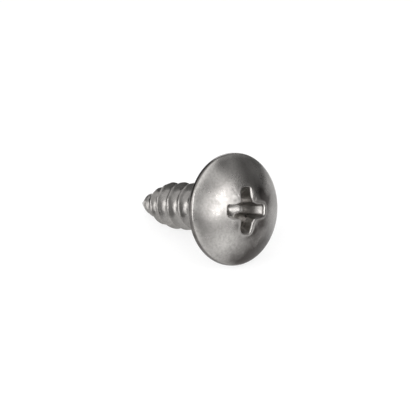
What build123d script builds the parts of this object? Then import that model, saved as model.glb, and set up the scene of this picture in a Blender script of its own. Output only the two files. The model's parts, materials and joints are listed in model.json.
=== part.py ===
from build123d import *
from math import asin, atan2, cos, degrees, hypot, radians, sin, tan
import os

# Head: a low dome on a thin upright rim. All lengths are in millimetres, all angles in degrees.
head_diameter = 9.3
head_height = 2.05
rim_height = 0.39
rim_lower_round = 0.1
rim_upper_round = 0.3

# Shank: a round core, straight below the head and then tapered to a blunt point
shank_length = 12.7
root_diameter = 3.0
crest_diameter = 4.18
point_length = 4.8
point_bulge = 0.45
point_tapers = 4
tip_diameter = 0.3
seat_clearance = 0.06

# Thread: a right-hand ridge of trapezoid section that runs out under the head and at the tip
thread_pitch = 1.51
thread_angle = 60.0
crest_land = 0.1
thread_start = 0.6
thread_start_angle = 79.0
neck_run_out_turns = 0.75
tip_run_out_turns = 0.3
sections_per_turn = 12

# Cross recess, type H, size 2: four drafted wings, with each corner between them cut back in two facets
recess_span = 4.04
recess_bottom_diameter = 2.29
recess_side_angle = 26.5
recess_floor_angle = 28.0
recess_turn = -16.1
wing_bottom_width = 0.66
wing_draft = 5.75
flank_angle = 92.0
core_bottom_width = 1.53
corner_angle = 140.0

# Radii and levels that follow from the sizes above. A depth is measured from the seat towards the tip.
head_radius = head_diameter / 2
root_radius = root_diameter / 2
crest_radius = crest_diameter / 2
tip_radius = tip_diameter / 2
ridge_sink = tip_radius / 2
neck_fillet = crest_radius + seat_clearance - root_radius
dome_rise = head_height - rim_height
dome_radius = (head_radius**2 + dome_rise**2) / (2 * dome_rise)
point_start = shank_length - point_length
thread_end = shank_length - tip_radius


def point_share(depth):
    """Share of the shank's radius at a depth: 1 above the point, then falling in a bulged curve to 0."""
    left = min(1.0, max(0.0, (thread_end - depth) / (thread_end - point_start)))
    return left + point_bulge * left * (1 - left)


def core_radius(depth):
    return tip_radius + (root_radius - tip_radius) * point_share(depth)


def crest_radius_at(depth):
    """Radius of the ridge's crest, which rises over its first turns and dies away at the tip."""
    turns_from_neck = (depth - thread_start) / thread_pitch
    turns_from_tip = (thread_end - depth) / thread_pitch
    share = min(1.0, turns_from_neck / neck_run_out_turns, turns_from_tip / tip_run_out_turns)
    full_height = (crest_radius - root_radius) * point_share(depth)
    return core_radius(depth) + full_height * share - ridge_sink / 2 * (1 - share)


def helix_angle(depth):
    """Angle about the axis, in radians, at which the ridge stands at a depth."""
    return radians(thread_start_angle - 360 * (depth - thread_start) / thread_pitch)


def dome_height(radius):
    """Height of the dome above the seat at a distance from the axis."""
    return head_height - dome_radius + (dome_radius**2 - radius**2) ** 0.5


def turned_blank():
    """Head and core in one turned profile: the seat is at Z = 0, with the dome above it and the tip below."""
    taper_step = (thread_end - point_start) / point_tapers
    taper_depths = [thread_end - taper_step * i for i in range(point_tapers + 1)]
    outline = [
        CenterArc((0, -thread_end), tip_radius, -90, 90),
        Polyline(
            *[(core_radius(depth), -depth) for depth in taper_depths],
            (root_radius, 0),
            (head_radius, 0),
            (head_radius, rim_height),
        ),
        TangentArc((0, head_height), (head_radius, rim_height), tangent=(1, 0)),
        Line((0, head_height), (0, -shank_length)),
    ]
    profile = make_face(outline)
    rounded_corners = {
        (root_radius, 0): neck_fillet,
        (head_radius, 0): rim_lower_round,
        (head_radius, rim_height): rim_upper_round,
    }
    for corner, radius in rounded_corners.items():
        profile = fillet(profile.vertices().sort_by_distance(corner)[0], radius)
    return revolve(Plane.XZ * profile, Axis.Z)


def thread_section(depth):
    """Trapezoid of the ridge in the half plane through the axis, its foot sunk a little into the core."""
    foot_radius = core_radius(depth) - ridge_sink
    top_radius = crest_radius_at(depth)
    half_top = crest_land / 2
    half_foot = half_top + (top_radius - foot_radius) * tan(radians(thread_angle / 2))
    corners = [
        (foot_radius, half_foot),
        (top_radius, half_top),
        (top_radius, -half_top),
        (foot_radius, -half_foot),
    ]
    turn = helix_angle(depth)
    outline = Polyline(*[(r * cos(turn), r * sin(turn), h - depth) for r, h in corners], close=True)
    return Face(Wire(outline))


def thread_turns():
    """The ridge, lofted turn by turn through sections set at equal steps along the helix."""
    length = thread_end - thread_start
    turn_count = max(1, round(length / thread_pitch))
    step = length / turn_count / sections_per_turn
    turns = []
    for turn in range(turn_count):
        start = thread_start + turn * sections_per_turn * step
        turns.append(loft([thread_section(start + i * step) for i in range(sections_per_turn + 1)]))
    return turns


def cross_outline(height, rise, reach):
    """Plan of the four wings, out to a reach, at a height that lies a rise above the foot of their walls."""
    growth = rise * tan(radians(wing_draft))
    half_wing = wing_bottom_width / 2 + growth
    corner = (core_bottom_width / 2 + growth) / 2**0.5
    flank_slope = tan(radians(flank_angle / 2 - 45))
    facet_slope = tan(radians(corner_angle / 2 - 45))
    half_root = half_wing + recess_bottom_diameter / 2 * flank_slope
    bend = (corner * (1 + facet_slope) - half_root) / (facet_slope - flank_slope)
    half_bend = half_root - bend * flank_slope
    half_end = half_root - reach * flank_slope
    wing = [(bend, -half_bend), (reach, -half_end), (reach, half_end), (bend, half_bend), (corner, corner)]
    corners = [Vector(*point).rotate(Axis.Z, 90 * quarter) for quarter in range(4) for point in wing]
    return Pos(0, 0, height) * make_face(Polyline(*corners, close=True))


def cross_recess():
    """Cutter for the recess: a cone with a conical floor, kept only where the wings and their core pass."""
    mouth_radius = recess_span / 2
    bottom_radius = recess_bottom_diameter / 2
    side_slope = tan(radians(recess_side_angle))
    bottom = dome_height(mouth_radius) - (mouth_radius - bottom_radius) / side_slope
    floor = bottom - bottom_radius * tan(radians(recess_floor_angle))
    top = head_height + rim_height
    top_radius = bottom_radius + (top - bottom) * side_slope
    cone_corners = [(0, floor), (bottom_radius, bottom), (top_radius, top), (0, top)]
    cone = revolve(Plane.XZ * make_face(Polyline(*cone_corners, close=True)), Axis.Z)
    cross = loft([cross_outline(height, height - bottom, top_radius) for height in (floor, top)], ruled=True)
    return Rot(0, 0, recess_turn) * (cone & cross)


def resting_lean():
    """Angle in radians between axis and floor, with the rim's lower round and the crest touching it."""
    rim_reach = head_radius - rim_lower_round
    samples = round(360 * (thread_end - thread_start) / thread_pitch / 5)
    leans = []
    for i in range(samples + 1):
        depth = thread_start + (thread_end - thread_start) * i / samples
        drop = rim_reach + crest_radius_at(depth) * sin(helix_angle(depth))
        run = depth + crest_land / 2 + rim_lower_round
        leans.append(atan2(drop, run) + asin(rim_lower_round / hypot(drop, run)))
    return min(leans)


def laid_down(upright):
    """The screw as it comes to rest on Z = 0, with its head towards +X and its box centred in plan."""
    lean = resting_lean()
    seat_height = rim_lower_round * (1 - sin(lean)) + (head_radius - rim_lower_round) * cos(lean)
    lying = Plane(origin=(0, 0, seat_height), x_dir=(0, 1, 0), z_dir=(cos(lean), 0, sin(lean))) * upright
    centre = lying.bounding_box().center()
    return Pos(-centre.X, -centre.Y, 0) * lying


screw = laid_down(turned_blank() + thread_turns() - cross_recess())
screw.label = "screw"
os.makedirs("parts", exist_ok=True)
export_step(screw, "parts/screw.step")
print("resting lean in degrees", round(degrees(resting_lean()), 2), "volume", round(screw.volume, 2))
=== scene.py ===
# A tapping screw lying on its side: one closed surface for head, recess, thread and point, in satin steel
import json
from math import acos, atan2, cos, pi, radians, sin, sqrt, tan

import bmesh
import bpy
import numpy as np
from mathutils import Matrix, Vector


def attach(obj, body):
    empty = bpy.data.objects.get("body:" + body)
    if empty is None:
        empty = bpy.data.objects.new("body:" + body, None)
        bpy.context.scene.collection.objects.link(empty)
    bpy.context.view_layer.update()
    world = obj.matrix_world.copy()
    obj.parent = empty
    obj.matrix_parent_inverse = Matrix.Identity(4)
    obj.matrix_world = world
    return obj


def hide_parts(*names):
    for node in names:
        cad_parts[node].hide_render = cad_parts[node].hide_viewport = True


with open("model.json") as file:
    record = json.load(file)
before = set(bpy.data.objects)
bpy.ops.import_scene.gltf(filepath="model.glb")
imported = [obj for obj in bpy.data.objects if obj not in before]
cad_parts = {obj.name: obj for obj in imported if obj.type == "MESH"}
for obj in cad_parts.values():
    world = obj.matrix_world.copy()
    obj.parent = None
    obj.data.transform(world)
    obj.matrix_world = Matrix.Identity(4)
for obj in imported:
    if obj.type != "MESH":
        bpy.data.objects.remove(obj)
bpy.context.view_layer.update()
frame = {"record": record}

scene = bpy.context.scene
scene.view_settings.view_transform = "Standard"
perMetre = 1000              # millimetres
print("frame loaded")


# The sizes of the screw in millimetres and degrees, as in the CAD source. A depth is measured from the seat.
screw = {
    "headRadius": 4.65,
    "headHeight": 2.05,
    "rimHeight": 0.39,
    "rimLowerRound": 0.1,
    "rimUpperRound": 0.3,
    "shankLength": 12.7,
    "rootRadius": 1.5,
    "crestRadius": 2.09,
    "pointLength": 4.8,
    "pointBulge": 0.45,
    "tipRadius": 0.15,
    "seatClearance": 0.06,
    "pitch": 1.51,
    "threadAngle": 60.0,
    "crestLand": 0.1,
    "threadStart": 0.6,
    "startAngle": 79.0,
    "neckRunOut": 0.75,      # turns over which the thread rises under the head
    "tipRunOut": 0.3,        # and dies away at the tip
}

# How closely the surface is divided
surface = {
    "columns": 240,          # around the axis, a multiple of eight
    "rowsPerTurn": 22,       # along one pitch of the thread
    "crestGather": 0.75,     # how strongly those rows crowd towards the crest, 0 to 1
    "helixTop": 0.3,         # depth at which the rows begin to follow the thread
    "evenRadius": 2.75,      # of the dome's ring beyond which the columns stand evenly
    "floorRows": 9,
    "footRows": 5,
    "wallRows": 14,
    "innerEdgeRows": 5,      # the mouth's rounded edge beside the wall
    "bevelRows": 2,
    "outerEdgeRows": 4,      # and its edge beside the dome
    "nearDomeRows": 12,
    "farDomeRows": 16,
    "rimUpperRows": 8,
    "rimLowerRows": 6,
    "seatRows": 6,
    "neckRows": 8,
    "tipRows": 6,
    "mergeDistance": 1e-7,   # in metres, between points that are one
    "leastEdge": 1e-8,
}

domeRise = screw["headHeight"] - screw["rimHeight"]
domeRadius = (screw["headRadius"] ** 2 + domeRise ** 2) / (2 * domeRise)
domeCentre = screw["headHeight"] - domeRadius
pointStart = screw["shankLength"] - screw["pointLength"]
threadEnd = screw["shankLength"] - screw["tipRadius"]
threadHeight = screw["crestRadius"] - screw["rootRadius"]
neckFillet = screw["crestRadius"] + screw["seatClearance"] - screw["rootRadius"]
columns = surface["columns"]
columnTurn = 2 * pi * np.arange(columns) / columns


def domeHeight(radius):
    # height over the seat: the sphere's centre plus the root of its radius squared less the radius squared
    return domeCentre + np.sqrt(domeRadius ** 2 - radius ** 2)


def pointShare(depth):
    # share of the full radius: 1 above the point, then a falling line plus a bulge, 0 at the tip
    left = np.clip((threadEnd - depth) / (threadEnd - pointStart), 0, 1)
    return left + screw["pointBulge"] * left * (1 - left)


def coreRadius(depth):
    # radius between the ridges: the neck's quarter circle, then tip radius plus the rest times the share
    body = screw["tipRadius"] + (screw["rootRadius"] - screw["tipRadius"]) * pointShare(depth)
    up = np.clip(neckFillet - depth, 0, neckFillet)
    neck = screw["rootRadius"] + neckFillet - np.sqrt(neckFillet ** 2 - up ** 2)
    return np.where(depth < neckFillet, neck, body)


def crestRadiusAt(depth):
    # radius of the ridge's top, which rises out of the core under the head and sinks back at the tip
    sink = screw["tipRadius"] / 4    # under the core's surface, where the ridge starts and ends
    fromNeck = (depth - screw["threadStart"]) / screw["pitch"] / screw["neckRunOut"]
    fromTip = (threadEnd - depth) / screw["pitch"] / screw["tipRunOut"]
    share = np.minimum(1, np.minimum(fromNeck, fromTip))
    full = threadHeight * pointShare(depth)
    return coreRadius(np.maximum(depth, neckFillet)) + full * share - sink * (1 - share)


def smoothMax(a, b, width):
    # the larger of a and b, its corner rounded off where they differ by less than the width
    mix = np.clip(0.5 + 0.5 * (b - a) / width, 0, 1)
    return a + (b - a) * mix + width * mix * (1 - mix)


def rings(radii, heights, startAngles):
    # one ring for each radius r and height z: r cos a, r sin a, z at the columns' angles a
    given = (np.reshape(v, (-1, 1)) for v in (radii, heights, startAngles))
    r, z, start = np.broadcast_arrays(*given)
    a = start + columnTurn
    return np.stack([r * np.cos(a), r * np.sin(a), z + 0 * a], -1)


def withHeight(plan, height):
    # points x, y, z from their x, y and their height
    return np.concatenate([plan, height[..., None]], -1)


# The cross recess, in millimetres and degrees. The tuples of sixteen go anticlockwise round its worn mouth,
# with a line for the top, left, bottom and right wing. A line holds the wing's end, its side, the corner and
# the near side of the next wing.
recess = {
    "span": 4.04,
    "bottomRadius": 1.145,
    "sideAngle": 26.5,
    "floorAngle": 28.0,
    "turn": -16.1,
    "offCentre": (-0.05, 0.0),     # of the punch, along the right wing and along the top wing
    "wingWidth": 0.66,             # at the foot of a wing's end
    "wingDraft": 5.75,
    "flankAngle": 94.0,            # in plan, between the sides of neighbouring wings
    "coreWidth": 1.53,             # across opposite corners at their foot
    "cornerAngle": 140.0,          # in plan, between the two facets of a corner
    "footRound": 0.2,              # between floor and walls
    "middleRound": 0.2,            # on the point of the floor's cone
    "endColumns": 8,               # of the thirty columns in an eighth: on the wing's end
    "sideColumns": 9,              # and on its side, with the rest on the facet
    "cornerPasses": 6,             # how often the outline's corners are averaged round
    "besideColumns": 5,            # columns to either side that give the outline's direction
    "meetPasses": 10,              # steps in finding where the walls meet floor and dome
    "places": (0, 7, 13, 30, 47, 53),      # a line's end, end, side, corner, side and next end, in sixtieths
    "mouthRound": (0.08, 0.1, 0.08, 0.06,  # reach of the mouth's rounded edges
                   0.06, 0.06, 0.08, 0.1,
                   0.08, 0.1, 0.12, 0.08,
                   0.12, 0.1, 0.12, 0.12),
    "mouthWear": (-0.12, 0.22, 0.06, -0.06,        # how far the walls are moved out, evenly with height
                  0.02, 0.16, 0.08, 0.18,
                  -0.1, -0.02, 0.06, 0.08,
                  -0.26, -0.04, -0.04, -0.12),
    "mouthFlare": (0.0, 0.0, 0.0, 0.0,     # the same, with the third power of the height
                   0.0, 0.0, 0.0, 0.0,
                   0.0, 0.0, 0.0, 0.0,
                   0.2, 0.0, 0.0, 0.0),
    "mouthBevel": (0.08, 0.05, 0.03, 0.02,         # width of the bevel between wall and dome
                   0.03, 0.03, 0.03, 0.05,
                   0.12, 0.2, 0.16, 0.1,
                   0.16, 0.2, 0.5, 0.36),
    "bevelSlope": 0.23,            # its depth over its width
    "bevelRounded": 0.45,          # most of its width that either rounded edge takes
}

# Small dents in the dome beside the recess: place across and up from the head's middle, reach and depth
dents = (
    (-0.86, 1.95, 0.1, 0.012), (-0.72, 1.45, 0.07, 0.012), (-1.0, 1.1, 0.1, 0.014),
    (-0.78, 0.98, 0.06, 0.012), (-1.15, 0.85, 0.08, 0.012), (-1.72, -0.28, 0.09, 0.014),
    (-1.4, -0.5, 0.12, 0.012), (-1.55, -0.8, 0.1, 0.01), (0.2, -2.15, 0.1, 0.02),
    (-0.15, -2.2, 0.08, 0.014),
)

rightWing = radians(recess["turn"])
topWing = radians(recess["turn"] + 90)       # the columns start here
wingAxes = np.array([[cos(rightWing), sin(rightWing)], [-sin(rightWing), cos(rightWing)]])
punchCentre = np.array(recess["offCentre"]) @ wingAxes
mouthHeight = float(domeHeight(recess["span"] / 2))
wallSlope = tan(radians(recess["sideAngle"]))
floorSlope = tan(radians(recess["floorAngle"]))
recessBottom = mouthHeight - (recess["span"] / 2 - recess["bottomRadius"]) / wallSlope
recessFloor = recessBottom - recess["bottomRadius"] * floorSlope


def aroundMouth(values):
    # one value for each column out of sixteen: level across a wing's end, then straight from one place to the
    # next, with the places in sixtieths of a quarter of the columns
    quarter = columns / 4
    places = quarter * np.arange(4)[:, None] + quarter / 60 * np.array(recess["places"])
    end, side, corner, nextSide = np.array(values).reshape(4, 4).T
    held = np.column_stack([end, end, side, corner, nextSide, np.roll(end, -1)])
    return np.interp(np.arange(columns), places.ravel(), held.ravel(), period=columns)


mouthRound = aroundMouth(recess["mouthRound"])
mouthWear = aroundMouth(recess["mouthWear"])
mouthFlare = aroundMouth(recess["mouthFlare"])
mouthBevel = aroundMouth(recess["mouthBevel"])


def outwards(plan):
    # square to an outline that runs anticlockwise, in plan, taken over a few columns so that no two cross
    beside = recess["besideColumns"]
    along = np.roll(plan, -beside, 0) - np.roll(plan, beside, 0)
    return np.stack([along[:, 1], -along[:, 0]], -1) / np.linalg.norm(along, axis=1)[:, None]


def crossOutline(level):
    # The recess's outline about the punch's centre, at a height for each column. An eighth of it is half the
    # wing's end, an arc, then the wing's side, a line that widens inwards by the flank's slope, and then the
    # corner's facet, a line that widens by the facet's slope as far as the diagonal. The arc's radius, the
    # wing's width and the core's grow with the height over the foot. The other eighths are this one's mirror
    # images and quarter turns. The walls are then moved outwards, by the wear times the share of the height
    # and by the flare times that share's third power.
    rise = level - recessBottom
    growth = rise * tan(radians(recess["wingDraft"]))
    endRadius = recess["bottomRadius"] + rise * wallSlope
    diagonal = (recess["coreWidth"] / 2 + growth) / sqrt(2)
    flankSlope = tan(radians(recess["flankAngle"] / 2 - 45))
    facetSlope = tan(radians(recess["cornerAngle"] / 2 - 45))
    halfRoot = recess["wingWidth"] / 2 + growth + recess["bottomRadius"] * flankSlope
    bend = (diagonal * (1 + facetSlope) - halfRoot) / (facetSlope - flankSlope)
    halfEndTurn = np.arcsin((halfRoot - endRadius * flankSlope) / endRadius)

    eighth = columns // 8
    place = np.arange(columns) % (2 * eighth)
    mirrored = place > eighth
    step = np.where(mirrored, 2 * eighth - place, place)
    facetStart = recess["endColumns"] + recess["sideColumns"]
    endPart = np.clip(step / recess["endColumns"], 0, 1)
    sidePart = np.clip((step - recess["endColumns"]) / recess["sideColumns"], 0, 1)
    facetPart = np.clip((step - facetStart) / (eighth - facetStart), 0, 1)
    x, y = endRadius * np.cos(halfEndTurn * endPart), endRadius * np.sin(halfEndTurn * endPart)
    x, y = x + (bend - x) * sidePart, y + (halfRoot - bend * flankSlope - y) * sidePart
    x, y = x + (diagonal - x) * facetPart, y + (diagonal - y) * facetPart
    x, y = np.where(mirrored, y, x), np.where(mirrored, x, y)

    turn = topWing + np.arange(columns) // (2 * eighth) * pi / 2
    x, y = x * np.cos(turn) - y * np.sin(turn), x * np.sin(turn) + y * np.cos(turn)
    for _ in range(recess["cornerPasses"]):
        x, y = ((np.roll(v, 1) + 2 * v + np.roll(v, -1)) / 4 for v in (x, y))
    plan = np.stack([x, y], -1)
    up = np.clip(rise / (mouthHeight - recessBottom), 0, 1)
    return plan + outwards(plan) * (mouthWear * up + mouthFlare * up ** 3)[:, None]


def floorHeight(plan):
    # a cone about the punch's centre with a rounded point: its slope times the root of radius squared plus
    # rounding squared, less the rounding
    soft = recess["middleRound"]
    radius = np.linalg.norm(plan, axis=-1)
    return recessFloor + floorSlope * (np.sqrt(radius ** 2 + soft ** 2) - soft)


def domeOver(plan):
    # the dome's height at a place given about the punch's centre
    return domeHeight(np.linalg.norm(plan + punchCentre, axis=-1))


def bent(start, corner, end, steps):
    # a curve from start to end that the sharp corner pulls out: the start times the square of 1 less t, the
    # corner times twice t times 1 less t, and the end times t squared
    t = np.linspace(0, 1, steps + 1)[1:, None, None]
    return (1 - t) ** 2 * start + 2 * t * (1 - t) * corner + t ** 2 * end


def recessRows():
    # floor from its middle outwards, rounded foot, walls as the outline at rising heights, and the mouth: a
    # rounded edge, the bevel and a second rounded edge to the dome
    foot = np.full(columns, recessBottom)
    mouth = np.full(columns, mouthHeight)
    for _ in range(recess["meetPasses"]):
        foot = floorHeight(crossOutline(foot))
        mouth = domeOver(crossOutline(mouth)) - mouthBevel * recess["bevelSlope"]
    base = withHeight(crossOutline(foot), foot)
    corner = withHeight(crossOutline(mouth), mouth)

    inner = base[:, :2] - outwards(base[:, :2]) * recess["footRound"]
    plan = inner * np.linspace(0, 1, surface["floorRows"])[:, None, None]
    floor = withHeight(plan, floorHeight(plan))
    low, high = foot + recess["footRound"], mouth - mouthRound
    levels = low + (high - low) * np.linspace(0, 1, surface["wallRows"] + 1)[:, None]
    wall = np.stack([withHeight(crossOutline(level), level) for level in levels])

    away = outwards(corner[:, :2])
    lip = corner[:, :2] + away * mouthBevel[:, None]
    outer = lip + away * mouthRound[:, None]
    lip, outer = withHeight(lip, domeOver(lip)), withHeight(outer, domeOver(outer))
    rounded = np.minimum(mouthRound / mouthBevel, recess["bevelRounded"])[:, None]
    inEdge, outEdge = corner + (lip - corner) * rounded, lip + (corner - lip) * rounded
    points = np.concatenate([
        floor,
        bent(floor[-1], base, wall[0], surface["footRows"]),
        wall[1:],
        bent(wall[-1], corner, inEdge, surface["innerEdgeRows"]),
        bent(inEdge, (inEdge + outEdge) / 2, outEdge, surface["bevelRows"]),
        bent(outEdge, lip, outer, surface["outerEdgeRows"]),
    ])
    points[..., :2] += punchCentre
    return points


# Centre of the rim's upper round, which touches the dome's sphere from inside, and the angle where they meet
rimRound = screw["rimUpperRound"]
rimCentreRadius = screw["headRadius"] - rimRound
rimCentreHeight = domeCentre + sqrt((domeRadius - rimRound) ** 2 - rimCentreRadius ** 2)
rimAngle = atan2(rimCentreHeight - domeCentre, rimCentreRadius)
domeEdgeRadius = rimCentreRadius + rimRound * cos(rimAngle)


def domeRows(mouth):
    # From the mouth to the ring where the columns stand evenly, radius and angle move from the mouth's own
    # to the ring's, the angle by 3 t squared less 2 t cubed. From there rings go on to the rim's round. All
    # of it is on the sphere, but for the dents: the depth of one times e to the minus square of the distance
    # from its place over its reach.
    mouthRadius = np.hypot(mouth[:, 0], mouth[:, 1])
    even = topWing + columnTurn
    aside = (np.arctan2(mouth[:, 1], mouth[:, 0]) - even + pi) % (2 * pi) - pi
    t = np.linspace(0, 1, surface["nearDomeRows"] + 1)[1:, None]
    r = mouthRadius + (surface["evenRadius"] - mouthRadius) * t
    a = even + aside * (1 - t * t * (3 - 2 * t))
    near = np.stack([r * np.cos(a), r * np.sin(a), domeHeight(r)], -1)
    radii = np.linspace(surface["evenRadius"], domeEdgeRadius, surface["farDomeRows"] + 1)[1:]
    points = np.concatenate([near, rings(radii, domeHeight(radii), topWing)])
    for x, y, reach, deep in dents:
        away = np.hypot(points[..., 0] - x, points[..., 1] - y)
        points[..., 2] -= deep * np.exp(-(away / reach) ** 2)
    return points


def rimRows():
    # upper and lower round of the rim as arcs, the flat seat, then the neck's quarter circle to the thread
    lowerRound = screw["rimLowerRound"]
    seatStart, seatEnd = screw["headRadius"] - lowerRound, screw["rootRadius"] + neckFillet
    upper = rimAngle * (1 - np.linspace(0, 1, surface["rimUpperRows"] + 1)[1:])
    lower = -pi / 2 * np.linspace(0, 1, surface["rimLowerRows"])
    seat = np.linspace(seatStart, seatEnd, surface["seatRows"] + 2)[1:-1]
    neck = np.linspace(0, acos(1 - surface["helixTop"] / neckFillet), surface["neckRows"])
    radii = np.concatenate([
        rimCentreRadius + rimRound * np.cos(upper),
        seatStart + lowerRound * np.cos(lower),
        seat,
        seatEnd - neckFillet * np.sin(neck),
    ])
    heights = np.concatenate([
        rimCentreHeight + rimRound * np.sin(upper),
        lowerRound * (1 + np.sin(lower)),
        0 * seat,
        -neckFillet * (1 - np.cos(neck)),
    ])
    # across the seat the columns turn on from the recess's start to the thread's
    turned = np.clip((screw["headRadius"] - radii) / (screw["headRadius"] - seatEnd), 0, 1)
    turned[:len(upper) + len(lower)] = 0
    return rings(radii, heights, topWing + (radians(screw["startAngle"]) - topWing) * turned)


# What rolling and wear made of the thread and the point, in millimetres
shank = {
    "rootRound": 0.42,       # rounding in the corner between ridge and core
    "crestRound": 0.08,      # worn rounding of the crest's two edges
    "noseRadius": 0.93,      # of the blunt nose that the thread ends in
    "noseSlope": 0.62,       # its radius over its length, from the very tip
    "noseDepth": 11.2,       # of its shoulder
    "shoulderSlope": 1.2,    # how steeply it falls back above the shoulder
    "noseBlend": 0.1,        # rounding between nose and thread
    "tipBlend": 0.1,         # length over which all of it narrows to the tip
    "waves": 40,             # of the rolled surface's unevenness
    "waveSeed": 4,
    "waveHeight": 0.05,      # their greatest height
    "waveTurns": 11,         # most waves around the shank
    "waveRate": 12,          # most radians of a wave in a millimetre along it
    "coreWaves": 0.25,       # share of their height between the ridges
    "neckFade": 0.3,         # lengths over which they fade out at the neck and at the tip
    "tipFade": 0.2,
}


def unevenness(turn, depth):
    # the sum of many waves over the unrolled shank, over the root of their number and held between -1 and 1.
    # Each is the sine of a whole number times the angle plus a rate times the depth plus a phase.
    draw = np.random.default_rng(shank["waveSeed"])
    most, rate = shank["waveTurns"], shank["waveRate"]
    total = 0
    for _ in range(shank["waves"]):
        around = draw.integers(-most, most + 1)
        along, phase = draw.uniform(-rate, rate), draw.uniform(0, 2 * pi)
        total = total + np.sin(around * turn + along * depth + phase)
    return np.clip(total / sqrt(shank["waves"]), -1, 1)


def threadRows():
    # Rows that follow the helix: depth is the thread's start plus the pitch times the number of the turn plus
    # the place in the pitch less the share of the circle, held between neck and tip. The radius is the larger
    # of the core's and of the ridge's, which falls from the crest by the distance from it over the tangent of
    # half the thread angle. The nose is a cone that grows from the tip up to its shoulder.
    perTurn, pitch = surface["rowsPerTurn"], screw["pitch"]
    turns = int(np.ceil((threadEnd - screw["threadStart"]) / pitch)) + 2     # so that each column ends there
    even = np.arange(perTurn) / perTurn - 0.5
    place = even - surface["crestGather"] * np.sin(2 * pi * even) / (2 * pi)
    turn = np.repeat(np.arange(turns), perTurn)[:, None]
    crestDepth = screw["threadStart"] + pitch * (turn - columnTurn / (2 * pi))
    depth = np.clip(crestDepth + pitch * np.tile(place, turns)[:, None], surface["helixTop"], threadEnd)

    off = np.abs(depth - crestDepth) - screw["crestLand"] / 2
    off = smoothMax(0 * off, off, shank["crestRound"])
    top = crestRadiusAt(crestDepth)
    present = (crestDepth > screw["threadStart"]) & (crestDepth < threadEnd)
    ridge = np.where(present, top - off / tan(radians(screw["threadAngle"] / 2)), 0)
    core = coreRadius(depth)
    r = np.minimum(smoothMax(core, ridge, shank["rootRound"]), np.maximum(core, top))

    fromTip = threadEnd - depth
    overShoulder = np.maximum(shank["noseDepth"] - depth, 0)
    nose = np.minimum(screw["tipRadius"] + shank["noseSlope"] * fromTip,
                      shank["noseRadius"] - shank["shoulderSlope"] * overShoulder)
    r = smoothMax(r, nose, shank["noseBlend"])
    r = core + (r - core) * np.clip(fromTip / shank["tipBlend"], 0, 1)

    # the waves only take away, most from the crest, and fade out at the neck and at the tip
    share = np.clip((r - core) / threadHeight, shank["coreWaves"], 1)
    share = share * np.clip((depth - surface["helixTop"]) / shank["neckFade"], 0, 1)
    share = share * np.clip(fromTip / shank["tipFade"], 0, 1)
    a = radians(screw["startAngle"]) + columnTurn
    r = r - shank["waveHeight"] / 2 * (1 + unevenness(a, depth)) * share
    return np.stack([r * np.cos(a), r * np.sin(a), -depth], -1)


def tipRows():
    # half a small sphere on the end
    rise = np.linspace(0, pi / 2, surface["tipRows"])
    return rings(screw["tipRadius"] * np.cos(rise), -threadEnd - screw["tipRadius"] * np.sin(rise),
                 radians(screw["startAngle"]))


def gridFaces(rowCount, helixFirst, helixCount):
    # four corners for each cell. A row closes on itself, but one of the helix closes on the row a turn back.
    row, column = np.meshgrid(np.arange(rowCount - 1), np.arange(columns), indexing="ij")
    following = (column + 1) % columns
    closes = column == columns - 1
    helixEnd = helixFirst + helixCount

    def back(r):
        inHelix = (r >= helixFirst) & (r < helixEnd)
        return np.where(closes & inHelix, np.maximum(r - surface["rowsPerTurn"], helixFirst - 1), r)

    cells = [row * columns + column, (row + 1) * columns + column,
             back(row + 1) * columns + following, back(row) * columns + following]
    return np.stack(cells, -1).reshape(-1, 4)


driver = next(m for m in frame["record"]["mounts"] if m["name"] == "drive_recess")
axis = np.array(driver["axis"]) / np.linalg.norm(driver["axis"])
seatCentre = np.array(driver["pos_m"]) - axis * screw["headHeight"] / perMetre
across = np.array([0.0, 1.0, 0.0])
upward = np.cross(axis, across)


def laidDown(points):
    # the screw's own x, y, z in millimetres, along the floor's Y, upwards and along the axis, in metres
    return seatCentre + (points @ np.array([across, upward, axis])) / perMetre


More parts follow.
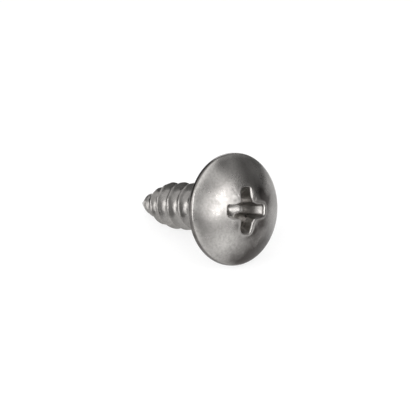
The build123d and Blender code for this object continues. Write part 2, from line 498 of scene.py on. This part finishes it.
# Where the steel is painted lighter, with painted highlights and rubbing, and darker, with painted shade and
# stains, as shares that show in full from 1 on. A curve is row numbers and their shares, and the rows between
# are filled in. The tuples of sixteen go round the mouth as those of the recess do.
paintedLightAndWear = {
    # painted shade over the recess's floor, with a little painted highlight
    "floorHighlight": 0.1,
    "floorShade": 0.42,
    # painted highlights on the recess's walls
    "wallHighlight": (0.8, 1.0, 1.0, 0.5,
                   0.5, 0.5, 1.0, 1.0,
                   0.8, 1.0, 0.8, 0.5,
                   0.5, 0.5, 0.8, 1.0),
    "wallFootShade": 0.3,                     # painted shade at the foot, and less and less up to the mouth
    "wallUnshadedFrom": 0.6,                      # painted highlight share from which a wall gets no painted shade
    # painted highlights and painted shade along the mouth's rows
    "mouthHighlight": ((0, 2, 4, 7, 9, 10), (0.5, 0.9, 0.1, 0.1, 0.4, 0.2)),
    "mouthShade": ((2, 4, 7, 9), (0, 0.35, 0.35, 0)),
    "mouthHighlightShare": (0.6, 1.0, 1.0, 0.6,     # how much of that painted highlight is found at each place
                   0.5, 0.6, 1.0, 1.0,
                   0.8, 1.0, 0.6, 0.3,
                   0.2, 0.1, 0.4, 1.0),
    "mouthShadeWithoutHighlight": 0.5,                    # painted shade share where none of it is
    "endLines": (0, 0, 0, 0,               # the wing's end that has a painted dark line of shade and a painted bright highlight line along its edge
                 0, 0, 0, 0,
                 0, 0, 0, 0,
                 1, 0, 0, 0),
    "endLineFade": 4,                      # power by which they fade towards the sides
    "darkLine": (-1, 1),                   # first row and the row after the last, from the mouth's first
    "brightLine": (1, 6),
    "darkLineShade": 1.2,
    "lipHighlight": (0.15, 0.05),             # painted highlight in the dome's first rows
    "edgeHighlight": (0.25, 0.6, 1.0),        # and in its last ones, at the edge
    "edgeFall": 1.2,                       # how fast the edge's painted highlight fades below the middle of the head
    "edgeLeast": 0.1,                      # and what is left of it at the bottom
    # painted highlights and painted shade on the dome, as lighter and darker parts: place across and up from
    # its middle, reach, and how strong
    "patches": (
        (-2.6, -2.0, 1.2, 1.0), (-2.0, 3.4, 0.8, 0.45), (-1.4, 3.7, 0.6, 0.5), (-0.2, 3.1, 0.8, 0.5),
        (0.2, 4.2, 0.6, 0.5), (2.9, 2.7, 0.8, 0.7), (-1.0, 1.4, 0.25, 0.5), (-1.65, -0.4, 0.3, 0.5),
        (-1.76, -0.22, 0.1, 0.8), (-3.9, 1.3, 0.6, 0.4), (-3.4, 2.3, 0.6, 0.55), (2.2, 0.2, 0.9, -1.7),
        (1.3, -1.3, 0.8, -1.2), (0.0, -1.8, 0.7, -1.1), (0.5, -4.3, 1.3, -1.4), (-1.1, -4.3, 0.8, -0.9),
        (-1.8, -3.4, 0.6, -0.6), (2.1, -3.7, 1.2, -1.4), (-1.4, -0.9, 0.4, -1.0), (0.9, 2.4, 0.8, -0.5),
        (-0.6, 2.2, 0.5, -0.5), (1.6, 1.5, 0.5, -0.5), (-2.0, 2.4, 0.5, -0.25), (0.4, -2.6, 0.9, -0.3),
        (1.0, 3.4, 0.6, -0.3), (1.9, 1.0, 0.4, -0.9),
    ),
    # painted highlight on the rim's outer rows, and painted shade growing towards its underside
    "rimHighlight": ((0, 1, 2), (1, 0.4, 0)),
    "rimShade": ((0, 1, 3, 7, 13), (0, 0.15, 0.7, 0.95, 1)),
    # painted shade on the seat and the neck under the head
    "seatShade": 0.6,
    # painted light on the thread, a little everywhere
    "threadHighlight": 0.05,
    "lowSideLight": 0.15,                 # painted light added on the shank's lower side
    "lowRootLight": 0.5,                  # and between the ridges there
    "pointLight": 0.45,                   # painted light added on the point
    "pointDepth": 11,                      # where that begins
    "pointFade": 0.5,                      # and the length over which it comes in
    "ridgeClean": 0.4,                     # share of the ridge's height up to which it gets no painted shade
    "ridgeShade": 0.5,                    # and how fast the painted shade grows from there on
    "rootShade": 0.2,                     # painted shade between the ridges on the upper side
    "leastRidge": 0.15,                    # least height that a ridge counts as, near the tip
    # painted light on the tip's end
    "tipLight": 0.3,
    "mostShare": 1.5,                      # past 1 a share shows more evenly
}

# the edge's painted highlight round the head, weaker towards the bottom: 1 plus the fall times the sine of
# the angle, between the least and 1
edgeShare = np.clip(1 + paintedLightAndWear["edgeFall"] * np.sin(topWing + columnTurn), paintedLightAndWear["edgeLeast"], 1)


def curve(name, count):
    # a curve's share for each row, as a column
    return np.interp(np.arange(count), *paintedLightAndWear[name])[:, None]


def recessPaintedLight(paintedHighlightAndWear, paintedShadeAndStain):
    # painted shade and painted highlights in the recess: floor and walls by their place, the mouth's rows by
    # their curves, and the painted dark and bright lines at one wing's end
    floor = surface["floorRows"]
    mouthRows = surface["innerEdgeRows"] + surface["bevelRows"] + surface["outerEdgeRows"]
    mouth = len(paintedHighlightAndWear) - mouthRows
    paintedHighlightAndWear[:floor] = paintedLightAndWear["floorHighlight"]
    paintedShadeAndStain[:floor] = paintedLightAndWear["floorShade"]
    paintedHighlightAndWear[floor:mouth] = aroundMouth(paintedLightAndWear["wallHighlight"])
    shadedWalls = paintedHighlightAndWear[floor:mouth] < paintedLightAndWear["wallUnshadedFrom"]
    paintedShadeAndStain[floor:mouth] = np.linspace(paintedLightAndWear["wallFootShade"], 0, mouth - floor)[:, None] * shadedWalls
    shine = aroundMouth(paintedLightAndWear["mouthHighlightShare"])
    paintedHighlightAndWear[mouth:] = curve("mouthHighlight", mouthRows) * shine
    paintedShadeAndStain[mouth:] = curve("mouthShade", mouthRows) + paintedLightAndWear["mouthShadeWithoutHighlight"] * (1 - shine)
    lines = aroundMouth(paintedLightAndWear["endLines"]) ** paintedLightAndWear["endLineFade"]
    dark = slice(*(mouth + np.array(paintedLightAndWear["darkLine"])))
    bright = slice(*(mouth + np.array(paintedLightAndWear["brightLine"])))
    paintedHighlightAndWear[dark] *= 1 - lines
    paintedShadeAndStain[dark] += paintedLightAndWear["darkLineShade"] * lines
    paintedHighlightAndWear[bright] += lines
    paintedShadeAndStain[bright] *= 1 - lines


def domePaintedLight(paintedHighlightAndWear, paintedShadeAndStain, dome):
    # painted highlights in the edges' rows, then the patches of painted highlight and painted shade, each its
    # strength times e to the minus square of the distance from its place over its reach
    paintedHighlightAndWear[:len(paintedLightAndWear["lipHighlight"])] = np.array(paintedLightAndWear["lipHighlight"])[:, None]
    paintedHighlightAndWear[-len(paintedLightAndWear["edgeHighlight"]):] = np.array(paintedLightAndWear["edgeHighlight"])[:, None] * edgeShare
    for x, y, reach, strength in paintedLightAndWear["patches"]:
        away = np.hypot(dome[..., 0] - x, dome[..., 1] - y)
        changed = paintedHighlightAndWear if strength > 0 else paintedShadeAndStain
        changed += abs(strength) * np.exp(-(away / reach) ** 2)


def rimPaintedLight(paintedHighlightAndWear, paintedShadeAndStain):
    # painted highlight and painted shade: the two rounds by their curves, then the seat and the neck
    rounds = surface["rimUpperRows"] + surface["rimLowerRows"]
    paintedHighlightAndWear[:rounds] = curve("rimHighlight", rounds) * edgeShare
    paintedShadeAndStain[:rounds] = curve("rimShade", rounds)
    paintedShadeAndStain[rounds:] = paintedLightAndWear["seatShade"]


def threadPaintedLight(paintedHighlightAndWear, paintedShadeAndStain, helix):
    # painted light and painted shade on the thread, by three shares of a place: how far it faces down, how
    # deep it is between the ridges, and whether it is on the point
    radius, depth = np.hypot(helix[..., 0], helix[..., 1]), -helix[..., 2]
    fullRidge = threadHeight * np.maximum(pointShare(depth), paintedLightAndWear["leastRidge"])
    height = (radius - coreRadius(depth)) / fullRidge
    under = np.clip(-helix[..., 1] / radius, 0, 1)
    root = 1 - np.clip(height, 0, 1)
    point = np.clip((depth - paintedLightAndWear["pointDepth"]) / paintedLightAndWear["pointFade"], 0, 1)
    lowSide = paintedLightAndWear["lowSideLight"] + paintedLightAndWear["lowRootLight"] * root
    paintedHighlightAndWear[:] = paintedLightAndWear["threadHighlight"] + paintedLightAndWear["pointLight"] * point + under * lowSide
    ridge = paintedLightAndWear["ridgeShade"] * np.clip(height - paintedLightAndWear["ridgeClean"], 0, 1 - paintedLightAndWear["ridgeClean"])
    paintedShadeAndStain[:] = (ridge + paintedLightAndWear["rootShade"] * root * (1 - under)) * (1 - point)


def paintedLightOf(parts):
    # the painted highlight and rubbing share and the painted shade and stain share of each point, part by
    # part
    paintedHighlightAndWear, paintedShadeAndStain = ([np.zeros(part.shape[:2]) for part in parts] for _ in range(2))
    recessPaintedLight(paintedHighlightAndWear[0], paintedShadeAndStain[0])
    domePaintedLight(paintedHighlightAndWear[1], paintedShadeAndStain[1], parts[1])
    rimPaintedLight(paintedHighlightAndWear[2], paintedShadeAndStain[2])
    threadPaintedLight(paintedHighlightAndWear[3], paintedShadeAndStain[3], parts[3])
    # painted light on the tip's end
    paintedHighlightAndWear[4][:] = paintedLightAndWear["tipLight"]
    return (np.clip(np.concatenate(shares), 0, paintedLightAndWear["mostShare"]).ravel() for shares in (paintedHighlightAndWear, paintedShadeAndStain))


def makeScrew():
    # all rows as one grid, from the middle of the recess's floor to the tip, with points that coincide merged
    inside = recessRows()
    parts = [inside, domeRows(inside[-1]), rimRows(), threadRows(), tipRows()]
    points = np.concatenate(parts)
    faces = gridFaces(len(points), sum(len(p) for p in parts[:3]), len(parts[3]))
    mesh = bpy.data.meshes.new("screwBody")
    mesh.from_pydata(laidDown(points.reshape(-1, 3)).tolist(), [], faces.tolist())
    for name, values in zip(("paintedHighlightAndWear", "paintedShadeAndStain"), paintedLightOf(parts)):
        mesh.attributes.new(name, "FLOAT", "POINT").data.foreach_set("value", values.astype(np.float32))
    bm = bmesh.new()
    bm.from_mesh(mesh)
    bmesh.ops.remove_doubles(bm, verts=bm.verts, dist=surface["mergeDistance"])
    bmesh.ops.dissolve_degenerate(bm, edges=bm.edges, dist=surface["leastEdge"])
    bm.to_mesh(mesh)
    bm.free()
    mesh.shade_smooth()
    piece = bpy.data.objects.new("screwBody", mesh)
    scene.collection.objects.link(piece)
    return piece


body = makeScrew()
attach(body, "root")
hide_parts("screw")
print("screw surface:", len(body.data.polygons), "faces")


# Satin steel. A pattern is its size in millimetres, its detail, the detail's roughness and its distortion. A
# range is two values of a pattern and what they become.
steel = {
    "dull": (0.21, 0.202, 0.194, 1),       # the mottled skin's darker and lighter parts
    "bright": (0.29, 0.279, 0.269, 1),
    "paintedHighlightAndWear": (0.52, 0.504, 0.485, 1),     # painted highlights, and edges and crests that have been rubbed
    "paintedShadeAndStain": (0.05, 0.044, 0.041, 1),     # painted shade, and stains
    "clouds": (1.3, 4, 0.6, 0.6),
    "mottle": (0.2, 3, 0.55, 0.0),
    "pits": (0.12, 2, 0.55, 0.0),
    "cloudShare": 0.6,                     # of the clouds in the skin's pattern, and of the mottle
    "mottleShare": 0.4,
    "skinColour": (0.38, 0.62, 0.0, 1.0),
    "skinRoughness": (0.38, 0.62, 0.36, 0.26),
    "paintedHighlightLeft": (0.3, 0.6, 0.55, 1.0),   # by the mottle: share of the painted highlight and rubbing that shows
    "paintedShadeLeft": (0.3, 0.65, 1.0, 0.6),   # and by the clouds: share of the painted shade and stains
    "pitRange": (0.5, 0.36, 0.0, 1.0),
    "pitDepth": -0.5,                      # where the mottle's height is 1
    "mottleDepth": 0.0022,                 # height of the fine unevenness in millimetres
}


def steelMaterial():
    # the skin goes from dull to bright by clouds and mottle, with painted shade and stains, then painted
    # highlights and rubbing over it
    material = bpy.data.materials.new("satinSteel")
    material.use_nodes = True
    nodes, links = material.node_tree.nodes, material.node_tree.links
    shader = nodes["Principled BSDF"]
    shader.inputs["Metallic"].default_value = 1
    place = nodes.new("ShaderNodeTexCoord")

    def put(socket, value):
        # a node's output is linked, and a number or a colour is set
        if isinstance(value, bpy.types.NodeSocket):
            links.new(value, socket)
        else:
            socket.default_value = value

    def noise(name):
        node = nodes.new("ShaderNodeTexNoise")
        size, detail, rough, distortion = steel[name]
        put(node.inputs["Scale"], perMetre / size)
        put(node.inputs["Detail"], detail)
        put(node.inputs["Roughness"], rough)
        put(node.inputs["Distortion"], distortion)
        put(node.inputs["Vector"], place.outputs["Object"])
        return node.outputs["Fac"]

    def ranged(value, name):
        node = nodes.new("ShaderNodeMapRange")
        put(node.inputs["Value"], value)
        for socketName, number in zip(("From Min", "From Max", "To Min", "To Max"), steel[name]):
            put(node.inputs[socketName], number)
        return node.outputs["Result"]

    def calculate(operation, first, second):
        node = nodes.new("ShaderNodeMath")
        node.operation = operation
        put(node.inputs[0], first)
        put(node.inputs[1], second)
        return node.outputs[0]

    def blend(share, first, second):
        node = nodes.new("ShaderNodeMix")
        node.data_type = "RGBA"
        put(node.inputs["Factor"], share)
        put(node.inputs["A"], first)
        put(node.inputs["B"], second)
        return node.outputs["Result"]

    def attribute(name):
        node = nodes.new("ShaderNodeAttribute")
        node.attribute_name = name
        return node.outputs["Fac"]

    clouds, mottle, pits = noise("clouds"), noise("mottle"), noise("pits")
    skin = calculate("ADD", calculate("MULTIPLY", clouds, steel["cloudShare"]),
                     calculate("MULTIPLY", mottle, steel["mottleShare"]))
    colour = blend(ranged(skin, "skinColour"), steel["dull"], steel["bright"])
    # painted shade darkens the skin here, and painted highlights lighten it
    paintedShadeAndStain = calculate("MULTIPLY", attribute("paintedShadeAndStain"), ranged(clouds, "paintedShadeLeft"))
    colour = blend(paintedShadeAndStain, colour, steel["paintedShadeAndStain"])
    paintedHighlightAndWear = calculate("MULTIPLY", attribute("paintedHighlightAndWear"), ranged(mottle, "paintedHighlightLeft"))
    colour = blend(paintedHighlightAndWear, colour, steel["paintedHighlightAndWear"])
    put(shader.inputs["Base Color"], colour)
    put(shader.inputs["Roughness"], ranged(skin, "skinRoughness"))

    height = calculate("ADD", mottle, calculate("MULTIPLY", ranged(pits, "pitRange"), steel["pitDepth"]))
    bump = nodes.new("ShaderNodeBump")
    put(bump.inputs["Distance"], steel["mottleDepth"] / perMetre)
    put(bump.inputs["Height"], height)
    put(shader.inputs["Normal"], bump.outputs["Normal"])
    return material


body.data.materials.append(steelMaterial())
print("material done")


# The camera of the photograph: distance, aim, lens and sensor in millimetres, angles in degrees
view = {
    "distance": 90.0,
    "azimuth": 48.82,
    "elevation": 25.75,
    "lens": 94.82,
    "sensor": 36,
    "aimRight": -2.087,      # from the middle of the seat, to the right and up in the picture
    "aimUp": 0.134,
    "clip": (0.005, 20),     # in metres
}


def towards(azimuth, elevation):
    # the sine of the azimuth along X, less its cosine along Y, both times the cosine of the elevation, whose
    # sine is the height
    a, e = radians(azimuth), radians(elevation)
    return Vector((sin(a) * cos(e), -cos(a) * cos(e), sin(e)))


def makeCamera():
    turn = radians(view["azimuth"])
    back = towards(view["azimuth"], view["elevation"])
    right = Vector((cos(turn), sin(turn), 0))
    up = back.cross(right)
    aim = Vector(seatCentre) + (right * view["aimRight"] + up * view["aimUp"]) / perMetre
    place = aim + back * view["distance"] / perMetre
    camera = bpy.data.objects.new("camera", bpy.data.cameras.new("camera"))
    camera.data.lens = view["lens"]
    camera.data.sensor_width = view["sensor"]
    camera.data.clip_start, camera.data.clip_end = view["clip"]
    camera.matrix_world = Matrix((
        (right.x, up.x, back.x, place.x),
        (right.y, up.y, back.y, place.y),
        (right.z, up.z, back.z, place.z),
        (0, 0, 0, 1),
    ))
    scene.collection.objects.link(camera)
    scene.camera = camera


makeCamera()
print("camera done")


# A pale floor and broad soft lamps, in metres. Each lamp: azimuth, elevation and half width in degrees, and
# brightness, where 1 is as bright as the white floor.
studio = {
    "floorSize": 1.5,
    "floorDrop": 2e-5,           # below the screw
    "floorGlow": 0.74,           # of a brightness of 1: the rest is lit by the lamps and carries the shadow
    "floorColour": 0.28,
    "world": 0.05,               # brightness of what is around
    "lampDistance": 0.4,
    "lamps": {
        "keyHigh": (345, 32, 14, 3.6),
        "keyLow": (15, 24, 22, 3.2),
        "right": (90, 22, 16, 3.1),
        "rightFar": (105, 32, 14, 3.07),
        "rightLow": (75, 16, 14, 1.84),
        "rightBroad": (90, 34, 32, 0.49),
        "back": (225, 18, 18, 2.2),
        "backRight": (160, 36, 26, 0.25),
        "left": (324, 12, 12, 3.2),
        "top": (330, 72, 42, 1.14),
    },
}


def floorMaterial():
    # a matt pale colour, and on top a glow for the camera and for what metal and glass show of it
    material = bpy.data.materials.new("paleFloor")
    material.use_nodes = True
    nodes, links = material.node_tree.nodes, material.node_tree.links
    shader = nodes["Principled BSDF"]
    shader.inputs["Base Color"].default_value = (studio["floorColour"],) * 3 + (1,)
    shader.inputs["Roughness"].default_value = 1
    shader.inputs["Specular IOR Level"].default_value = 0
    ray = nodes.new("ShaderNodeLightPath")
    seen = ray.outputs["Is Camera Ray"]
    for name in ("Is Glossy Ray", "Is Transmission Ray"):
        either = nodes.new("ShaderNodeMath")
        either.operation = "MAXIMUM"
        links.new(seen, either.inputs[0])
        links.new(ray.outputs[name], either.inputs[1])
        seen = either.outputs[0]
    brightness = nodes.new("ShaderNodeMath")
    brightness.operation = "MULTIPLY"
    brightness.inputs[1].default_value = studio["floorGlow"]
    links.new(seen, brightness.inputs[0])
    glow = nodes.new("ShaderNodeEmission")
    links.new(brightness.outputs[0], glow.inputs["Strength"])
    both = nodes.new("ShaderNodeAddShader")
    links.new(shader.outputs[0], both.inputs[0])
    links.new(glow.outputs[0], both.inputs[1])
    links.new(both.outputs[0], nodes["Material Output"].inputs["Surface"])
    return material


def makeFloor():
    half, low = studio["floorSize"] / 2, -studio["floorDrop"]
    mesh = bpy.data.meshes.new("floor")
    mesh.from_pydata([(-half, -half, low), (half, -half, low), (half, half, low), (-half, half, low)],
                     [], [(0, 1, 2, 3)])
    floor = bpy.data.objects.new("floor", mesh)
    scene.collection.objects.link(floor)
    mesh.materials.append(floorMaterial())


def makeLamp(name, azimuth, elevation, halfWidth, brightness):
    # a disc that faces the screw. Its power is its brightness times pi times its area.
    direction = towards(azimuth, elevation)
    radius = studio["lampDistance"] * tan(radians(halfWidth))
    lamp = bpy.data.objects.new(name, bpy.data.lights.new(name, "AREA"))
    lamp.data.shape = "DISK"
    lamp.data.size = 2 * radius
    lamp.data.energy = brightness * pi * pi * radius ** 2
    lamp.location = direction * studio["lampDistance"]
    lamp.rotation_mode = "QUATERNION"
    lamp.rotation_quaternion = direction.to_track_quat("Z", "Y")
    scene.collection.objects.link(lamp)


def makeWorld():
    world = bpy.data.worlds.new("studio")
    world.use_nodes = True
    background = world.node_tree.nodes["Background"]
    background.inputs["Color"].default_value = (1, 1, 1, 1)
    background.inputs["Strength"].default_value = studio["world"]
    scene.world = world


makeFloor()
for lampName, lampValues in studio["lamps"].items():
    makeLamp(lampName, *lampValues)
makeWorld()
print("studio done")
